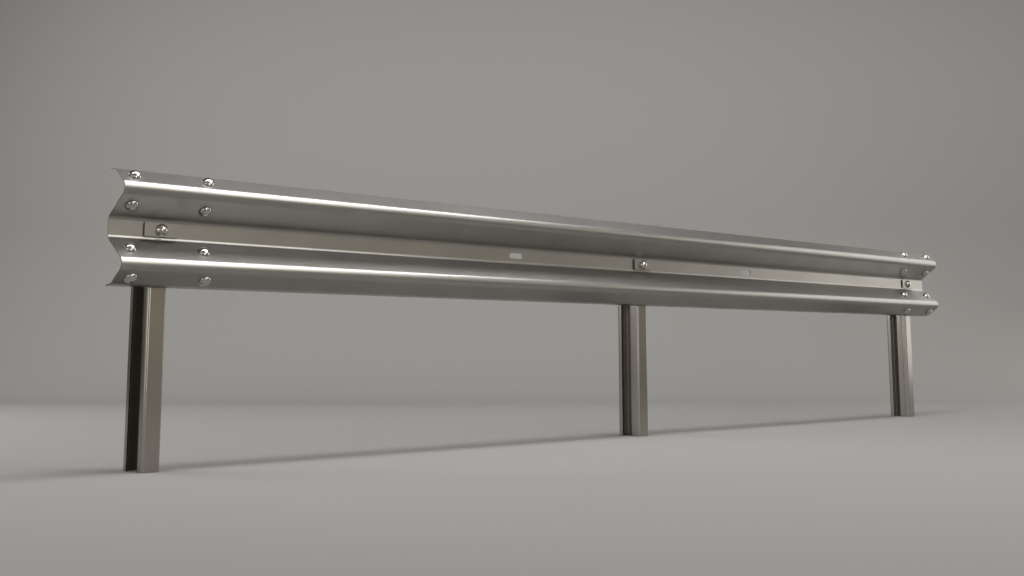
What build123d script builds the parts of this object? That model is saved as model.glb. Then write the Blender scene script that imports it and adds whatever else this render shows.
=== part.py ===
from build123d import *
import os
from math import cos, radians, sin, tan

# Highway guardrail section: one rolled W-beam rail on three sigma posts, bolted through cover
# plates, with the splice bolts of both rail ends in place. X runs along the rail, the traffic
# side faces -Y and Z is up. The origin is at ground level, in the middle of the middle post.

# Layout
post_spacing = 2000.0
rail_overhang = 150.0
rail_height = 630.0
open_slot_pitch = 1333.3

# Rail sheet: two crowns, a flat valley between them and a turned-back lip on each edge
sheet = 3.0
rail_depth = 83.0
valley_width = 52.0
web_angle = 53.0
crown_radius = 23.0
valley_bend = 14.0
lip_bend = 8.0
lip_run = 27.5
lip_rise = 4.0
slot_length = 64.0
slot_width = 19.0

# Splice holes: two columns of four on the sloping webs at each end
splice_column_pitch = 216.0
splice_inner_pitch = 112.0
splice_outer_pitch = 264.0

# Sigma post: flanges, lips and a web that steps in towards the open side
post_top = 760.0
post_width = 55.0
post_depth = 100.0
post_sheet = 4.0
post_bend = 8.0
post_lip = 20.0
step_flat = 26.0
step_slope = 12.0

# Cover plate under each post bolt, as wide as the valley's flat allows
plate_length = 100.0
plate_thickness = 5.0
plate_corner = 2.5
plate_clearance = 0.3

# Domed bolts and hexagon nuts
bolt_diameter = 16.0
head_diameter = 35.0
head_height = 13.5
head_rim = 2.5
splice_bolt_length = 30.0
post_bolt_length = 35.0
hole_clearance = 2.0
nut_across_flats = 24.0
nut_height = 13.0
nut_clearance = 0.3
overrun = 10.0

# Worked out from the sizes above
rail_length = 2 * (post_spacing + rail_overhang)
rail_back = -post_depth / 2
rail_front = rail_back - sheet
hole_radius = (bolt_diameter + hole_clearance) / 2
slope = radians(web_angle)
valley_flat = valley_width - 2 * valley_bend * tan(slope / 2)
plate_width = valley_flat - 2 * plate_clearance
crown_corner = rail_depth - sheet + crown_radius * (1 / cos(slope) - 1)
crown_offset = valley_width / 2 + crown_corner / tan(slope)
lip_offset = crown_offset + (crown_corner - lip_run) / tan(slope)

post_places = {"left": -post_spacing, "middle": 0, "right": post_spacing}
end_places = {"left": -post_spacing, "right": post_spacing}

os.makedirs("parts", exist_ok=True)


def save(part, name):
    """Label a finished piece and write it to its own file."""
    part.label = name
    export_step(part, f"parts/{name}.step")


def valley_seat(x, front):
    """Plane on a vertical face at the rail's middle height, looking at the traffic side."""
    return Plane((x, front, rail_height), x_dir=(1, 0, 0), z_dir=(0, -1, 0))


def web_seat(x, offset):
    """Plane on the front of a sloping web, at a height above or below the rail's middle."""
    up = 1 if offset > 0 else -1
    facing = 1 if abs(offset) > crown_offset else -1
    depth = crown_corner - abs(abs(offset) - crown_offset) * tan(slope)
    seat_point = (x, rail_front - depth, rail_height + offset)
    return Plane(seat_point, x_dir=(1, 0, 0), z_dir=(0, -cos(slope), facing * up * sin(slope)))


def splice_seats(x):
    """The eight splice places about an end post, column by column from the top down."""
    rows = (splice_outer_pitch / 2, splice_inner_pitch / 2, -splice_inner_pitch / 2, -splice_outer_pitch / 2)
    columns = (x - splice_column_pitch / 2, x + splice_column_pitch / 2)
    return [web_seat(column, row) for column in columns for row in rows]


# Rail: the front line of the sheet from the bottom lip to the top lip, thickened to the back
half_outline = [
    (rail_front, lip_offset + lip_rise),
    (rail_front - lip_run, lip_offset),
    (rail_front - crown_corner, crown_offset),
    (rail_front, valley_width / 2),
]
lower_outline = [(y, rail_height - z) for y, z in half_outline]
upper_outline = [(y, rail_height + z) for y, z in reversed(half_outline)]
half_bends = [lip_bend, crown_radius, valley_bend]

with BuildPart() as rail:
    with BuildSketch(Plane.YZ):
        with BuildLine():
            FilletPolyline(*lower_outline, *upper_outline, radius=half_bends + half_bends[::-1])
            offset(amount=sheet, side=Side.RIGHT)
        make_face()
    extrude(amount=rail_length / 2, both=True)
    with BuildSketch(valley_seat(0, rail_front)):
        with GridLocations(post_spacing, 0, len(post_places), 1):
            SlotOverall(slot_length, slot_width)
        with GridLocations(open_slot_pitch, 0, 2, 1):
            SlotOverall(slot_length, slot_width)
    extrude(amount=sheet + overrun, both=True, mode=Mode.SUBTRACT)
    for end_x in end_places.values():
        with Locations(*splice_seats(end_x)):
            Hole(hole_radius, depth=sheet + overrun)
save(rail.part, "rail")


# Posts: a bent strip, open towards -X, with the bolt hole in the front flange
def post(x, name):
    half_section = [
        (x - post_width / 2, post_depth / 2 - post_lip),
        (x - post_width / 2, post_depth / 2),
        (x + post_width / 2, post_depth / 2),
        (x + post_width / 2, step_flat / 2 + step_slope),
        (x + post_sheet / 2, step_flat / 2),
    ]
    front_section = [(px, -py) for px, py in half_section]
    with BuildPart() as sigma_post:
        with BuildSketch():
            with BuildLine():
                FilletPolyline(*front_section, *reversed(half_section), radius=post_bend)
                offset(amount=post_sheet, side=Side.LEFT)
            make_face()
        extrude(amount=post_top)
        with Locations(valley_seat(x, rail_back)):
            Hole(hole_radius, depth=post_sheet + overrun)
    save(sigma_post.part, name)


# Cover plates: flat bars that spread the bolt's pull over the slot
def cover_plate(x, name):
    with BuildPart() as plate:
        with BuildSketch(valley_seat(x, rail_front)):
            RectangleRounded(plate_length, plate_width, plate_corner)
            Circle(hole_radius, mode=Mode.SUBTRACT)
        extrude(amount=plate_thickness)
    save(plate.part, name)


# Bolts: a domed head that sits on its seat, with a plain shank behind it
def domed_bolt(seat, length, name):
    shank = bolt_diameter / 2
    with BuildPart() as bolt:
        with BuildSketch(Plane(seat.origin, x_dir=seat.x_dir, z_dir=-seat.y_dir)):
            with BuildLine():
                Polyline(
                    (0, head_height),
                    (0, -length),
                    (shank, -length),
                    (shank, 0),
                    (head_diameter / 2, 0),
                    (head_diameter / 2, head_rim),
                )
                TangentArc((0, head_height), (head_diameter / 2, head_rim), tangent=(1, 0))
            make_face()
        revolve(axis=Axis(seat.origin, seat.z_dir))
    save(bolt.part, name)


# Nuts: hexagons drawn up against the back of what they clamp
def hexagon_nut(seat, clamped, name):
    with BuildPart() as nut:
        with BuildSketch(seat.offset(-clamped)):
            RegularPolygon(nut_across_flats / 2, 6, major_radius=False)
            Circle(bolt_diameter / 2 + nut_clearance, mode=Mode.SUBTRACT)
        extrude(amount=-nut_height)
    save(nut.part, name)


for place, post_x in post_places.items():
    post(post_x, f"post_{place}")
    cover_plate(post_x, f"cover_plate_{place}")
    bolt_seat = valley_seat(post_x, rail_front - plate_thickness)
    domed_bolt(bolt_seat, post_bolt_length, f"post_bolt_{place}")
    hexagon_nut(bolt_seat, plate_thickness + sheet + post_sheet, f"post_nut_{place}")

for place, end_x in end_places.items():
    for number, splice_seat in enumerate(splice_seats(end_x), start=1):
        domed_bolt(splice_seat, splice_bolt_length, f"splice_bolt_{place}_{number}")
        hexagon_nut(splice_seat, sheet, f"splice_nut_{place}_{number}")
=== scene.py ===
import math

import bmesh
import bpy
from mathutils import Matrix, Vector


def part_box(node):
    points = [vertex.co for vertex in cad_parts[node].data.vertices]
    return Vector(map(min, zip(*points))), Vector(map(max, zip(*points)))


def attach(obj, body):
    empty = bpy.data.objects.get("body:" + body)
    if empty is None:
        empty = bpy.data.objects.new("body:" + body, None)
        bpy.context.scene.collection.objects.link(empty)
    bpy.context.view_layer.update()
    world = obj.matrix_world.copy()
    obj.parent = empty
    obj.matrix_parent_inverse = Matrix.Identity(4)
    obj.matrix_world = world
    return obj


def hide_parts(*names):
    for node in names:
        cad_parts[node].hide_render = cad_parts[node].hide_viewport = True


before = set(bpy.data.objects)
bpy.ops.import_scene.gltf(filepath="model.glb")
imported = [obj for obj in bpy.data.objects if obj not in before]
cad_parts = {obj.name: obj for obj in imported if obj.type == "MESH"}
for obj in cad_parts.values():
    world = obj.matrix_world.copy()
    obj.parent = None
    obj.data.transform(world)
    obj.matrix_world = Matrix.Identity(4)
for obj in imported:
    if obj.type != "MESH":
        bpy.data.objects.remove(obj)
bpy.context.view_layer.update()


# Posts: steel strip cold-formed into an open sigma section, with lips turned in at the open side
# and a web that steps inwards for stiffness. Each post is driven into the ground, and the rail is
# bolted to its front flange.
post_places = ("left", "middle", "right")
post_gauge = 0.004
post_bend = 0.008
post_lip = 0.020
step_flat = 0.026
step_slope = 0.012
post_hole = 0.009
post_punch = 4 * post_gauge
hole_sides = 48
bend_step_degrees = 5
least_bend_steps = 6
sheet_ease = 0.0004
sheet_ease_steps = 2
post_steel_pale = (0.345, 0.327, 0.301, 1.0)
post_steel_deep = (0.315, 0.299, 0.275, 1.0)
post_steel_rough = (0.18, 0.24)
post_steel_stretch = (900.0, 900.0, 25.0)
post_steel_relief = 0.00001
post_steel_metal = 0.9
# Cut edges, hole walls and plate sides are painted near black: painted shade standing in for the
# shadow along edges and in gaps. Their roughness and grain are the steel's own.
cut_edge_shade_pale = (0.055, 0.052, 0.049, 1.0)
cut_edge_shade_deep = (0.030, 0.028, 0.026, 1.0)
sheared_rough = (0.42, 0.58)
sheared_stretch = (700.0, 700.0, 700.0)
sheared_relief = 0.00004


def bent_strip(name, corners, bends, run):
    """A strip bent round its corners and drawn out along its run, still without a thickness."""
    bm = bmesh.new()
    axis = run.normalized()
    tip = bm.verts.new(corners[0])
    for before, corner, after, radius in zip(corners, corners[1:], corners[2:], bends):
        arrive = (corner - before).normalized()
        leave = (after - corner).normalized()
        turn = arrive.angle(leave)
        side = 1 if arrive.cross(leave).dot(axis) > 0 else -1
        bend_start = bm.verts.new(corner - arrive * radius * math.tan(turn / 2))
        bm.edges.new((tip, bend_start))
        bent = bmesh.ops.spin(
            bm,
            geom=[bend_start],
            cent=bend_start.co + side * radius * axis.cross(arrive),
            axis=axis,
            angle=side * turn,
            steps=max(least_bend_steps, round(math.degrees(turn) / bend_step_degrees)),
        )
        tip = bent["geom_last"][0]
    bm.edges.new((tip, bm.verts.new(corners[-1])))
    drawn = bmesh.ops.extrude_edge_only(bm, edges=bm.edges[:])
    far_line = [part for part in drawn["geom"] if isinstance(part, bmesh.types.BMVert)]
    bmesh.ops.translate(bm, verts=far_line, vec=run)
    for face in bm.faces:
        face.smooth = True
    strip = bpy.data.meshes.new(name)
    bm.to_mesh(strip)
    bm.free()
    piece = bpy.data.objects.new(name, strip)
    bpy.context.collection.objects.link(piece)
    return piece


def settle(piece):
    """Make the modifiers so far a part of the mesh."""
    bpy.context.view_layer.update()
    shaped = piece.evaluated_get(bpy.context.evaluated_depsgraph_get())
    settled = bpy.data.meshes.new_from_object(shaped)
    rough_mesh = piece.data
    piece.modifiers.clear()
    piece.data = settled
    bpy.data.meshes.remove(rough_mesh)
    settled.name = piece.name


def thicken(piece, thickness, side):
    """Give a bent strip its gauge on one side. Its cut edges take its second material, the edge steel
    painted near black as shade.
    """
    gauge = piece.modifiers.new("gauge", "SOLIDIFY")
    gauge.thickness = thickness
    gauge.offset = side
    gauge.use_even_offset = True
    gauge.material_offset_rim = 1
    settle(piece)


def cut_away(piece, punch_bm):
    """Punch closed shapes out of a piece. The walls of the cut take its second material, the edge
    steel painted near black as shade.
    """
    punch_mesh = bpy.data.meshes.new("punch")
    for face in punch_bm.faces:
        face.material_index = 1
    punch_bm.to_mesh(punch_mesh)
    punch_bm.free()
    punch = bpy.data.objects.new("punch", punch_mesh)
    for finish in piece.data.materials:
        punch_mesh.materials.append(finish)
    bpy.context.collection.objects.link(punch)
    press = piece.modifiers.new("press", "BOOLEAN")
    press.operation = "DIFFERENCE"
    press.solver = "EXACT"
    press.object = punch
    settle(piece)
    bpy.data.objects.remove(punch)
    bpy.data.meshes.remove(punch_mesh)


def round_punch(punch_bm, radius, depth, place):
    """Add a round punch about the Z of its place, and give back its corners."""
    made = bmesh.ops.create_cone(
        punch_bm,
        cap_ends=True,
        segments=hole_sides,
        radius1=radius,
        radius2=radius,
        depth=depth,
        matrix=place,
    )
    return made["verts"]


def ease_edges(piece, width, steps):
    """Take the sharpness off the edges of a piece, and keep its flats flat in the light."""
    ease = piece.modifiers.new("eased edges", "BEVEL")
    ease.width = width
    ease.segments = steps
    ease.limit_method = "ANGLE"
    ease.angle_limit = math.radians(40)
    ease.profile = 0.5
    even = piece.modifiers.new("even light", "WEIGHTED_NORMAL")
    even.weight = 100
    even.keep_sharp = True


def mill_grain():
    """Fine drawn grain and slow clouding of cold-worked steel, read from Object coordinates."""
    group = bpy.data.node_groups.new("Mill grain", "ShaderNodeTree")
    stretch = group.interface.new_socket("Stretch", in_out="INPUT", socket_type="NodeSocketVector")
    stretch.default_value = (400.0, 400.0, 400.0)
    group.interface.new_socket("Grain", in_out="OUTPUT", socket_type="NodeSocketFloat")
    group.interface.new_socket("Cloud", in_out="OUTPUT", socket_type="NodeSocketFloat")
    nodes = group.nodes
    links = group.links
    asked = nodes.new("NodeGroupInput")
    given = nodes.new("NodeGroupOutput")
    place = nodes.new("ShaderNodeTexCoord")
    drawn = nodes.new("ShaderNodeVectorMath")
    drawn.operation = "MULTIPLY"
    grain = nodes.new("ShaderNodeTexNoise")
    grain.inputs["Scale"].default_value = 1.0
    grain.inputs["Detail"].default_value = 3.0
    grain.inputs["Roughness"].default_value = 0.6
    cloud = nodes.new("ShaderNodeTexNoise")
    cloud.inputs["Scale"].default_value = 7.0
    cloud.inputs["Detail"].default_value = 2.0
    links.new(place.outputs["Object"], drawn.inputs[0])
    links.new(asked.outputs["Stretch"], drawn.inputs[1])
    links.new(drawn.outputs["Vector"], grain.inputs["Vector"])
    links.new(place.outputs["Object"], cloud.inputs["Vector"])
    links.new(grain.outputs["Fac"], given.inputs["Grain"])
    links.new(cloud.outputs["Fac"], given.inputs["Cloud"])
    return group


grain_group = mill_grain()


def worked_steel(name, pale, deep, rough, stretch, relief, metal=1.0):
    """Bare satin steel: clouded colour, gloss broken by the grain, and a trace of its relief."""
    steel = bpy.data.materials.new(name)
    steel.use_nodes = True
    nodes = steel.node_tree.nodes
    links = steel.node_tree.links
    surface = nodes["Principled BSDF"]
    surface.inputs["Metallic"].default_value = metal
    worked = nodes.new("ShaderNodeGroup")
    worked.node_tree = grain_group
    worked.inputs["Stretch"].default_value = stretch
    colour = nodes.new("ShaderNodeMix")
    colour.data_type = "RGBA"
    colour.inputs[6].default_value = deep
    colour.inputs[7].default_value = pale
    spread = nodes.new("ShaderNodeMapRange")
    spread.inputs["From Min"].default_value = 0.3
    spread.inputs["From Max"].default_value = 0.7
    gloss = nodes.new("ShaderNodeMapRange")
    gloss.inputs["From Min"].default_value = 0.25
    gloss.inputs["From Max"].default_value = 0.75
    gloss.inputs["To Min"].default_value = rough[0]
    gloss.inputs["To Max"].default_value = rough[1]
    bump = nodes.new("ShaderNodeBump")
    bump.inputs["Strength"].default_value = 0.25
    bump.inputs["Distance"].default_value = relief
    links.new(worked.outputs["Cloud"], spread.inputs["Value"])
    links.new(spread.outputs["Result"], colour.inputs["Factor"])
    links.new(colour.outputs[2], surface.inputs["Base Color"])
    links.new(worked.outputs["Grain"], gloss.inputs["Value"])
    links.new(gloss.outputs["Result"], surface.inputs["Roughness"])
    links.new(worked.outputs["Grain"], bump.inputs["Height"])
    links.new(bump.outputs["Normal"], surface.inputs["Normal"])
    return steel


post_steel = worked_steel(
    "Formed post steel",
    post_steel_pale,
    post_steel_deep,
    post_steel_rough,
    post_steel_stretch,
    post_steel_relief,
    post_steel_metal,
)
# Edge steel painted near black: painted shade on cut edges and in gaps.
cut_edge_shade_steel = worked_steel(
    "Cut edge steel, painted shade", cut_edge_shade_pale, cut_edge_shade_deep, sheared_rough, sheared_stretch, sheared_relief
)

post_middles = {}
for place in post_places:
    post_low, post_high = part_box(f"post_{place}")
    post_middle = (post_low + post_high) / 2
    post_middles[place] = post_middle
    flange_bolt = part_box(f"post_bolt_{place}")
    half_width = (post_high.x - post_low.x) / 2
    half_depth = (post_high.y - post_low.y) / 2
    half_section = [
        (-half_width, half_depth - post_lip),
        (-half_width, half_depth),
        (half_width, half_depth),
        (half_width, step_flat / 2 + step_slope),
        (post_gauge / 2, step_flat / 2),
    ]
    section = [(x, -y) for x, y in half_section] + half_section[::-1]
    foot_line = [Vector((post_middle.x + x, post_middle.y + y, post_low.z)) for x, y in section]
    post_bends = [post_bend] * (len(foot_line) - 2)
    post_run = Vector((0, 0, post_high.z - post_low.z))
    post = bent_strip(f"post_{place}_formed", foot_line, post_bends, post_run)
    post.data.materials.append(post_steel)
    # The post's cut edges and bolt hole take the near-black edge steel: painted shade.
    post.data.materials.append(cut_edge_shade_steel)
    thicken(post, post_gauge, 1.0)
    bolt_place = (flange_bolt[0] + flange_bolt[1]) / 2
    flange_place = Matrix.Translation((post_middle.x, post_low.y, bolt_place.z))
    flange_turn = Matrix.Rotation(math.radians(90), 4, "X")
    flange_hole = bmesh.new()
    round_punch(flange_hole, post_hole, post_punch, flange_place @ flange_turn)
    cut_away(post, flange_hole)
    ease_edges(post, sheet_ease, sheet_ease_steps)
    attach(post, "root")
    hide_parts(f"post_{place}")


# Rail: one length of 3 mm steel sheet, roll-formed into two crowns with a flat valley between them
# and a lip turned back along each edge. Slots for the post bolts and holes for the splice bolts are
# punched through it before it is bolted up.
rail_low, rail_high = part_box("rail")
rail_gauge = 0.003
crown_radius = 0.023
valley_bend = 0.014
lip_bend = 0.008
lip_run = 0.0275
lip_rise = 0.004
valley_half = 0.026
web_slope = math.radians(53.0)
slot_length = 0.064
slot_width = 0.019
open_slots = (-0.66665, 0.66665)
splice_hole = 0.009
splice_columns = (-0.108, 0.108)
splice_rows = (0.132, 0.056, -0.056, -0.132)
rail_punch = 6 * rail_gauge
slot_reach = 0.05
splice_reach = 0.02
rail_steel_pale = (0.350, 0.340, 0.321, 1.0)
rail_steel_deep = (0.320, 0.311, 0.294, 1.0)
rail_steel_rough = (0.32, 0.38)
rail_steel_stretch = (12.0, 800.0, 800.0)
rail_steel_relief = 0.00002

rail_middle = (rail_low.z + rail_high.z) / 2
valley_front = rail_high.y - rail_gauge
crown_depth = valley_front - rail_low.y
crown_corner = crown_depth + crown_radius * (1 / math.cos(web_slope) - 1)
crown_offset = valley_half + crown_corner / math.tan(web_slope)
lip_offset = crown_offset + (crown_corner - lip_run) / math.tan(web_slope)

rail_steel = worked_steel(
    "Rolled rail steel",
    rail_steel_pale,
    rail_steel_deep,
    rail_steel_rough,
    rail_steel_stretch,
    rail_steel_relief,
)

half_outline = [
    (0.0, lip_offset + lip_rise),
    (lip_run, lip_offset),
    (crown_corner, crown_offset),
    (0.0, valley_half),
]
outline = [(depth, -rise) for depth, rise in half_outline] + half_outline[::-1]
end_line = [Vector((rail_low.x, valley_front - depth, rail_middle + rise)) for depth, rise in outline]
half_bends = [lip_bend, crown_radius, valley_bend]
rail_run = Vector((rail_high.x - rail_low.x, 0, 0))
rail = bent_strip("rail_rolled", end_line, half_bends + half_bends[::-1], rail_run)
rail.data.materials.append(rail_steel)
# The rail's cut ends, lip edges, slots and holes take the near-black edge steel: painted shade.
rail.data.materials.append(cut_edge_shade_steel)
thicken(rail, rail_gauge, -1.0)


def valley_seat(x, front):
    """Place on an upright face at the rail's middle height, with Z towards the traffic side."""
    return Matrix.Translation((x, front, rail_middle)) @ Matrix.Rotation(math.radians(90), 4, "X")


def web_seat(x, rise):
    """Place on the front of a sloping web, with Z straight out of the sheet."""
    depth = crown_corner - abs(abs(rise) - crown_offset) * math.tan(web_slope)
    faces_up = (abs(rise) > crown_offset) == (rise > 0)
    tilt = math.radians(90) - web_slope if faces_up else math.radians(90) + web_slope
    spot = Matrix.Translation((x, valley_front - depth, rail_middle + rise))
    return spot @ Matrix.Rotation(tilt, 4, "X")


slot_places = [post_middles[place].x for place in post_places] + list(open_slots)
end_places = {place: post_middles[place].x for place in ("left", "right")}
column_places = [end_x + column for end_x in end_places.values() for column in splice_columns]

# The sheet is parted on both sides of each opening, which keeps the faces about it short.
partings = [x + reach for x in slot_places for reach in (-slot_reach, slot_reach)]
partings += [x + reach for x in column_places for reach in (-splice_reach, splice_reach)]
lengths = bmesh.new()
lengths.from_mesh(rail.data)
for parting_x in partings:
    bmesh.ops.bisect_plane(
        lengths,
        geom=lengths.verts[:] + lengths.edges[:] + lengths.faces[:],
        plane_co=(parting_x, 0, 0),
        plane_no=(1, 0, 0),
    )
lengths.to_mesh(rail.data)
lengths.free()

# A slot's punch is a round one, turned by half a side so that it parts cleanly down its middle.
half_side = Matrix.Rotation(math.radians(180 / hole_sides), 4, "Z")
punches = bmesh.new()
for slot_x in slot_places:
    slot_seat = valley_seat(slot_x, valley_front)
    corners = round_punch(punches, slot_width / 2, rail_punch, slot_seat @ half_side)
    for side in (-1, 1):
        half = [corner for corner in corners if (corner.co.x - slot_x) * side > 0]
        bmesh.ops.translate(punches, verts=half, vec=(side * (slot_length - slot_width) / 2, 0, 0))
for column_x in column_places:
    for row in splice_rows:
        round_punch(punches, splice_hole, rail_punch, web_seat(column_x, row))
cut_away(rail, punches)
ease_edges(rail, sheet_ease, sheet_ease_steps)
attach(rail, "root")
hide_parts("rail")


# Cover plates: short pieces of flat steel bar, sheared square and eased at the corners. Each lies
# in the valley over a post slot and spreads the pull of the bolt through it.
plate_corner = 0.0025
plate_corner_steps = 6
plate_ease = 0.0007
plate_ease_steps = 3
plate_hole = 0.009
plate_steel_stretch = (40.0, 700.0, 700.0)
plate_steel_relief = 0.00003

plate_steel = worked_steel(
    "Flat bar steel",
    rail_steel_pale,
    rail_steel_deep,
    rail_steel_rough,
    plate_steel_stretch,
    plate_steel_relief,
)

for place in post_places:
    plate_low, plate_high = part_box(f"cover_plate_{place}")
    plate_size = plate_high - plate_low
    plate_middle = (plate_low + plate_high) / 2
    plate_punch = 4 * plate_size.y
    bar = bmesh.new()
    bar_place = Matrix.Translation(plate_middle) @ Matrix.Diagonal(plate_size.to_4d())
    bmesh.ops.create_cube(bar, size=1.0, matrix=bar_place)
    through_edges = []
    for edge in bar.edges:
        start, end = edge.verts
        if abs((start.co - end.co).y) > plate_size.y / 2:
            through_edges.append(edge)
    bmesh.ops.bevel(
        bar,
        geom=through_edges,
        offset=plate_corner,
        offset_type="OFFSET",
        segments=plate_corner_steps,
        profile=0.5,
        affect="EDGES",
        material=-1,
    )
    # The plate's four sides take the near-black edge steel: painted shade round the plate where it
    # lies in the valley.
    for face in bar.faces:
        face.smooth = True
        face.material_index = 1 if abs(face.normal.y) < 0.5 else 0
    bar_mesh = bpy.data.meshes.new(f"cover_plate_{place}_sheared")
    bar.to_mesh(bar_mesh)
    bar.free()
    plate = bpy.data.objects.new(bar_mesh.name, bar_mesh)
    bpy.context.collection.objects.link(plate)
    plate.data.materials.append(plate_steel)
    plate.data.materials.append(cut_edge_shade_steel)
    plate_bore = bmesh.new()
    round_punch(plate_bore, plate_hole, plate_punch, valley_seat(plate_middle.x, plate_middle.y))
    cut_away(plate, plate_bore)
    ease_edges(plate, plate_ease, plate_ease_steps)
    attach(plate, "root")
    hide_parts(f"cover_plate_{place}")


# Bolts: forged steel with a low domed head and a rolled thread, left brighter than the sheet. Post
# bolts go through the cover plate, the slot and the post; splice bolts go through the rail's webs.
bolt_radius = 0.008
bolt_sides = 40
thread_pitch = 0.002
thread_depth = 0.0011
thread_root = 0.5 * thread_pitch
thread_crest = 0.9 * thread_pitch
point_chamfer = 0.0015
head_radius = 0.0175
head_height = 0.0135
head_rim = 0.0025
dome_steps = 14
rim_chamfer = 0.0006
rim_chamfer_rise = 0.35 * head_rim
bolt_lengths = {"post": 0.035, "splice": 0.030}
thread_lengths = {"post": 0.026, "splice": 0.024}
bolt_crease = math.radians(35)
weld_distance = 0.00001
bolt_steel_pale = (0.50, 0.49, 0.47, 1.0)
bolt_steel_deep = (0.46, 0.45, 0.43, 1.0)
bolt_steel_rough = (0.04, 0.09)
bolt_steel_stretch = (260.0, 260.0, 260.0)
bolt_steel_relief = 0.00003

bolt_steel = worked_steel(
    "Forged bolt steel",
    bolt_steel_pale,
    bolt_steel_deep,
    bolt_steel_rough,
    bolt_steel_stretch,
    bolt_steel_relief,
)


def lathe_round(bm, sides):
    """Turn the line in a mesh once about Z, and close it up."""
    bmesh.ops.spin(
        bm,
        geom=bm.verts[:] + bm.edges[:],
        cent=(0, 0, 0),
        axis=(0, 0, 1),
        angle=math.tau,
        steps=sides,
        use_merge=True,
        use_duplicate=False,
    )
    bmesh.ops.remove_doubles(bm, verts=bm.verts[:], dist=weld_distance)
    bmesh.ops.recalc_face_normals(bm, faces=bm.faces[:])


def bolt_blank(kind):
    """A bolt lathed about Z: the head's seat is at zero and the shank runs down from it."""
    bm = bmesh.new()
    length = bolt_lengths[kind]
    dome_rise = head_height - head_rim
    dome_radius = (head_radius**2 + dome_rise**2) / (2 * dome_rise)
    dome_centre = Vector((0, 0, head_height - dome_radius))
    dome_sweep = math.asin(head_radius / dome_radius)
    crown_point = bm.verts.new((0, 0, head_height))
    arc = bmesh.ops.spin(
        bm,
        geom=[crown_point],
        cent=dome_centre,
        axis=(0, 1, 0),
        angle=dome_sweep,
        steps=dome_steps,
        use_duplicate=False,
    )
    rim_point = arc["geom_last"][0]
    below = [
        (head_radius, rim_chamfer_rise),
        (head_radius - rim_chamfer, 0.0),
        (bolt_radius, 0.0),
        (bolt_radius, thread_lengths[kind] - length),
    ]
    turns = int(thread_lengths[kind] / thread_pitch) - 1
    for turn in range(turns):
        start = thread_lengths[kind] - length - turn * thread_pitch
        below.append((bolt_radius - thread_depth, start - thread_root))
        below.append((bolt_radius, start - thread_crest))
        below.append((bolt_radius, start - thread_pitch))
    below.append((bolt_radius - point_chamfer, -length))
    below.append((0.0, -length))
    last = rim_point
    for radius, height in below:
        onward = bm.verts.new((radius, 0, height))
        bm.edges.new((last, onward))
        last = onward
    lathe_round(bm, bolt_sides)
    for face in bm.faces:
        face.smooth = True
    blank = bpy.data.meshes.new(f"{kind}_bolt_blank")
    bm.to_mesh(blank)
    bm.free()
    blank.set_sharp_from_angle(angle=bolt_crease)
    return blank


def fasten(blank, name, seat, steel, node):
    """Put a copy of a turned part on its seat, in place of its CAD node."""
    mesh = blank.copy()
    mesh.name = name
    mesh.transform(seat)
    piece = bpy.data.objects.new(name, mesh)
    bpy.context.collection.objects.link(piece)
    mesh.materials.append(steel)
    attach(piece, "root")
    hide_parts(node)


post_bolt_blank = bolt_blank("post")
splice_bolt_blank = bolt_blank("splice")
for place in post_places:
    plate_low, plate_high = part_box(f"cover_plate_{place}")
    bolt_seat = valley_seat((plate_low.x + plate_high.x) / 2, plate_low.y)
    node = f"post_bolt_{place}"
    fasten(post_bolt_blank, f"{node}_forged", bolt_seat, bolt_steel, node)

splice_seats = {}
for place, end_x in end_places.items():
    seats = [web_seat(end_x + column, row) for column in splice_columns for row in splice_rows]
    for number, seat in enumerate(seats, start=1):
        splice_seats[f"{place}_{number}"] = seat
for spot, seat in splice_seats.items():
    node = f"splice_bolt_{spot}"
    fasten(splice_bolt_blank, f"{node}_forged", seat, bolt_steel, node)


# Nuts: steel hexagons with turned corners, duller than the bolts. They are run up the threads
# against the back of what they clamp.
nut_flats = 0.024
nut_height = 0.013
nut_bore = 0.0083
nut_sides = 48
nut_corner = nut_flats / math.sqrt(3)
nut_face = nut_flats / 2 * 0.95
nut_chamfer = (nut_corner - nut_face) * 0.6
nut_barrel = nut_corner + 0.0005
nut_crease = math.radians(25)
nut_steel_rough = (0.28, 0.36)
nut_steel_stretch = (500.0, 500.0, 500.0)
nut_steel_relief = 0.00003

nut_steel = worked_steel(
    "Hexagon nut steel",
    rail_steel_pale,
    post_steel_deep,
    nut_steel_rough,
    nut_steel_stretch,
    nut_steel_relief,
)


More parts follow.
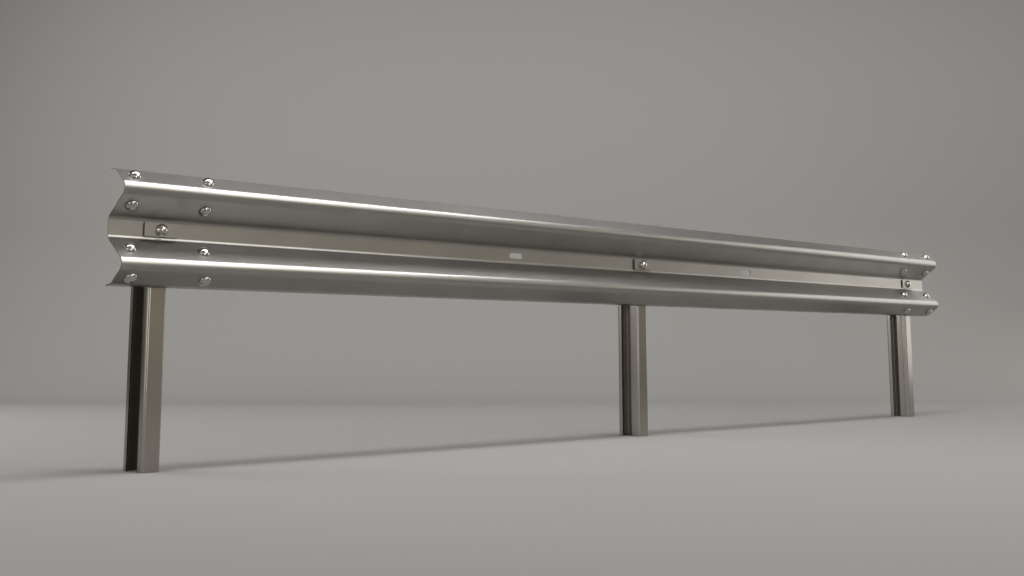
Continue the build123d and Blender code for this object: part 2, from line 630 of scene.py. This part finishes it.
def nut_blank():
    """A hexagon nut about Z, with its seat at zero and its height running down."""
    bm = bmesh.new()
    bmesh.ops.create_cone(
        bm,
        cap_ends=True,
        segments=6,
        radius1=nut_corner,
        radius2=nut_corner,
        depth=nut_height,
        matrix=Matrix.Translation((0, 0, -nut_height / 2)),
    )
    mesh = bpy.data.meshes.new("nut_blank")
    bm.to_mesh(mesh)
    bm.free()
    hexagon = bpy.data.objects.new("nut_blank", mesh)
    bpy.context.collection.objects.link(hexagon)
    barrel = bmesh.new()
    edge_line = [
        (nut_face, 0.0),
        (nut_barrel, -nut_chamfer),
        (nut_barrel, nut_chamfer - nut_height),
        (nut_face, -nut_height),
        (nut_bore, -nut_height),
        (nut_bore, 0.0),
    ]
    ring = [barrel.verts.new((radius, 0, height)) for radius, height in edge_line]
    for here, onward in zip(ring, ring[1:] + ring[:1]):
        barrel.edges.new((here, onward))
    lathe_round(barrel, nut_sides)
    turned_mesh = bpy.data.meshes.new("nut_barrel")
    barrel.to_mesh(turned_mesh)
    barrel.free()
    turned = bpy.data.objects.new("nut_barrel", turned_mesh)
    bpy.context.collection.objects.link(turned)
    lathe = hexagon.modifiers.new("lathe", "BOOLEAN")
    lathe.operation = "INTERSECT"
    lathe.solver = "EXACT"
    lathe.object = turned
    settle(hexagon)
    blank = hexagon.data
    bpy.data.objects.remove(hexagon)
    bpy.data.objects.remove(turned)
    bpy.data.meshes.remove(turned_mesh)
    for polygon in blank.polygons:
        polygon.use_smooth = True
    blank.set_sharp_from_angle(angle=nut_crease)
    return blank


hexagon_blank = nut_blank()
for place in post_places:
    post_low, post_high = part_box(f"post_{place}")
    nut_seat = valley_seat((post_low.x + post_high.x) / 2, post_low.y + post_gauge)
    node = f"post_nut_{place}"
    fasten(hexagon_blank, f"{node}_turned", nut_seat, nut_steel, node)
for spot, seat in splice_seats.items():
    node = f"splice_nut_{spot}"
    nut_seat = seat @ Matrix.Translation((0, 0, -rail_gauge))
    fasten(hexagon_blank, f"{node}_turned", nut_seat, nut_steel, node)


# Camera: low in front of the left end and tipped up a little, with its frame shifted down so that
# the feet of the posts stay in the picture.
camera_data = bpy.data.cameras.new("Camera")
camera_data.sensor_fit = "HORIZONTAL"
camera_data.sensor_width = 36.0
camera_data.lens = 44.79
camera_data.shift_y = -0.1238
camera = bpy.data.objects.new("Camera", camera_data)
camera.location = (-3.7095, -3.1165, 0.3154)
camera.rotation_euler = (math.radians(98.419), 0.0, math.radians(-44.615))
bpy.context.collection.objects.link(camera)
bpy.context.scene.camera = camera


# Floor and backdrop: one sweep of matt grey paper, turned square to the camera. It runs flat under
# the object, curves up behind it and is clear from the back. The same grey floor goes on round it,
# for the other views.
sweep_reach = 7.8
sweep_curve = 1.2
sweep_height = 3.4
sweep_width = 60.0
sweep_near = -30.0
sweep_grey = (0.240, 0.235, 0.226, 1.0)

facing = Matrix.Translation((camera.location.x, camera.location.y, 0.0)) @ Matrix.Rotation(
    camera.rotation_euler.z, 4, "Z"
)
sweep_line = [
    (sweep_near, 0.0),
    (sweep_reach + sweep_curve, 0.0),
    (sweep_reach + sweep_curve, sweep_height),
]
sweep_edge = [facing @ Vector((-sweep_width / 2, reach, height)) for reach, height in sweep_line]
sweep_across = facing.to_3x3() @ Vector((sweep_width, 0, 0))
sweep = bent_strip("studio_sweep", sweep_edge, [sweep_curve], sweep_across)
sweep_paper = bpy.data.materials.new("Matt grey sweep")
sweep_paper.use_nodes = True
paper_nodes = sweep_paper.node_tree.nodes
paper_links = sweep_paper.node_tree.links
paper = paper_nodes["Principled BSDF"]
paper.inputs["Base Color"].default_value = sweep_grey
paper.inputs["Roughness"].default_value = 0.9
paper.inputs["Specular IOR Level"].default_value = 0.1
behind = paper_nodes.new("ShaderNodeNewGeometry")
clear = paper_nodes.new("ShaderNodeBsdfTransparent")
one_sided = paper_nodes.new("ShaderNodeMixShader")
paper_out = paper_nodes["Material Output"]
paper_links.new(behind.outputs["Backfacing"], one_sided.inputs["Fac"])
paper_links.new(paper.outputs["BSDF"], one_sided.inputs[1])
paper_links.new(clear.outputs["BSDF"], one_sided.inputs[2])
paper_links.new(one_sided.outputs["Shader"], paper_out.inputs["Surface"])
sweep.data.materials.append(sweep_paper)

ground_half = 60.0
ground_drop = 0.01
ground_bm = bmesh.new()
bmesh.ops.create_grid(
    ground_bm,
    x_segments=1,
    y_segments=1,
    size=ground_half,
    matrix=Matrix.Translation((0, 0, -ground_drop)),
)
ground_mesh = bpy.data.meshes.new("studio_ground")
ground_bm.to_mesh(ground_mesh)
ground_bm.free()
ground = bpy.data.objects.new("studio_ground", ground_mesh)
bpy.context.collection.objects.link(ground)
ground_mesh.materials.append(sweep_paper)


# Light: a long strip high over the rail, a wider box below it, another high in front, a tall panel
# to the right of the far end, low panels in front and to the left that posts and bolts mirror, a
# lamp for the floor behind, a wash on the backdrop, and a dim warm room.
panel_tint = (1.0, 0.98, 0.94)
wash_place = facing @ Vector((2.2, 6.6, 2.8))
wash_target = facing @ Vector((2.2, 9.0, 1.2))
room_back = (0.25, 0.245, 0.235, 1.0)
room_front = (0.58, 0.515, 0.39, 1.0)
room_left = (0.60, 0.57, 0.52, 1.0)
room_above = (0.14, 0.138, 0.134, 1.0)


def soft_box(name, place, target, width, height, radiance, tint=(1.0, 1.0, 1.0)):
    """A lamp as large as its soft box, turned to a target, with its power worked out from its size."""
    lamp_data = bpy.data.lights.new(name, "AREA")
    lamp_data.shape = "RECTANGLE"
    lamp_data.size = width
    lamp_data.size_y = height
    lamp_data.energy = radiance * math.pi * width * height
    lamp_data.color = tint
    lamp = bpy.data.objects.new(name, lamp_data)
    lamp.location = place
    lamp.rotation_euler = (Vector(target) - Vector(place)).to_track_quat("-Z", "Y").to_euler()
    bpy.context.collection.objects.link(lamp)


soft_box("Long strip", (-0.95, -0.82, 4.00), (-0.95, -0.07, 0.60), 6.50, 0.72, 8.6)
soft_box("Over the rail", (-0.50, -0.92, 2.75), (-0.50, 0.05, 0.18), 3.10, 1.45, 2.7)
soft_box("Front high", (0.25, -3.35, 3.25), (-0.90, -0.48, 0.45), 2.50, 2.10, 3.7)
soft_box("Right panel", (5.35, -1.80, 1.65), (2.80, -2.60, 0.60), 4.10, 3.30, 1.60, panel_tint)
soft_box("Front strip", (-1.80, -5.60, 1.25), (-1.60, 0.0, 0.60), 1.10, 2.20, 3.8)
soft_box("Left panel", (-5.90, -2.20, 0.95), (0.0, 0.0, 0.60), 2.60, 1.80, 1.2)
soft_box("Back left", (-3.20, 3.40, 2.00), (-0.20, 1.20, 0.0), 3.00, 1.50, 8.0)
soft_box("Backdrop wash", wash_place, wash_target, 12.0, 1.0, 2.5)

room = bpy.data.worlds.new("Studio room")
room.use_nodes = True
bpy.context.scene.world = room
room_nodes = room.node_tree.nodes
room_links = room.node_tree.links
room_light = room_nodes["Background"]
outward = room_nodes.new("ShaderNodeTexCoord")
axes = room_nodes.new("ShaderNodeSeparateXYZ")
front = room_nodes.new("ShaderNodeMapRange")
front.inputs["From Min"].default_value = 0.0
front.inputs["From Max"].default_value = -1.0
walls = room_nodes.new("ShaderNodeMix")
walls.data_type = "RGBA"
walls.inputs[6].default_value = room_back
walls.inputs[7].default_value = room_front
left = room_nodes.new("ShaderNodeMapRange")
left.inputs["From Min"].default_value = 0.0
left.inputs["From Max"].default_value = -1.0
left_wall = room_nodes.new("ShaderNodeMix")
left_wall.data_type = "RGBA"
left_wall.inputs[7].default_value = room_left
rise = room_nodes.new("ShaderNodeMapRange")
ceiling = room_nodes.new("ShaderNodeMix")
ceiling.data_type = "RGBA"
ceiling.inputs[7].default_value = room_above
room_links.new(outward.outputs["Generated"], axes.inputs["Vector"])
room_links.new(axes.outputs["Y"], front.inputs["Value"])
room_links.new(front.outputs["Result"], walls.inputs["Factor"])
room_links.new(axes.outputs["X"], left.inputs["Value"])
room_links.new(left.outputs["Result"], left_wall.inputs["Factor"])
room_links.new(walls.outputs[2], left_wall.inputs[6])
room_links.new(axes.outputs["Z"], rise.inputs["Value"])
room_links.new(rise.outputs["Result"], ceiling.inputs["Factor"])
room_links.new(left_wall.outputs[2], ceiling.inputs[6])
room_links.new(ceiling.outputs[2], room_light.inputs["Color"])
room_light.inputs["Strength"].default_value = 1.0

bpy.context.scene.view_settings.view_transform = "Standard"
